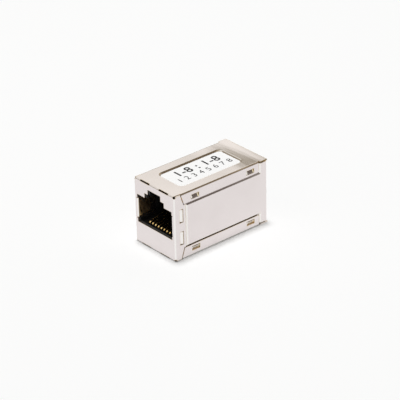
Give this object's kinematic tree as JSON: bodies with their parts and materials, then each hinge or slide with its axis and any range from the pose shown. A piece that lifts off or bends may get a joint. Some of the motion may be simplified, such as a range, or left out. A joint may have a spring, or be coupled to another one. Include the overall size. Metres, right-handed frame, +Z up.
{
  "type": "rj45 inline coupler",
  "caption": "Shielded inline coupler in a folded nickel-plated shell, with a modular jack at each end and a label recess on top, that joins two network cables end to end.",
  "frame": {"origin": "middle of the bottom face", "axes": "+X runs through both ports from port a to port b, +Y across the coupler, +Z up towards the label"},
  "size_m": [0.0284, 0.0144, 0.0168],
  "materials": {
    "shell_metal": "satin nickel plate on thin formed sheet",
    "label_film": "white printed label film",
    "housing_plastic": "black moulded plastic with a fine satin surface",
    "carrier_plastic": "black moulded plastic",
    "board_laminate": "green solder mask on glass laminate",
    "contact_gold": "gold-plated spring wire"
  },
  "bodies": {
    "root": {"front_shell": "shell_metal", "rear_shell": "shell_metal", "label": "label_film", "jack_housing_a": "housing_plastic", "jack_housing_b": "housing_plastic", "contact_carrier_a": "carrier_plastic", "contact_carrier_b": "carrier_plastic", "circuit_board": "board_laminate", "contact_a1": "contact_gold", "contact_a2": "contact_gold", "contact_a3": "contact_gold", "contact_a4": "contact_gold", "contact_a5": "contact_gold", "contact_a6": "contact_gold", "contact_a7": "contact_gold", "contact_a8": "contact_gold", "contact_b1": "contact_gold", "contact_b2": "contact_gold", "contact_b3": "contact_gold", "contact_b4": "contact_gold", "contact_b5": "contact_gold", "contact_b6": "contact_gold", "contact_b7": "contact_gold", "contact_b8": "contact_gold"}
  },
  "joints": []
}
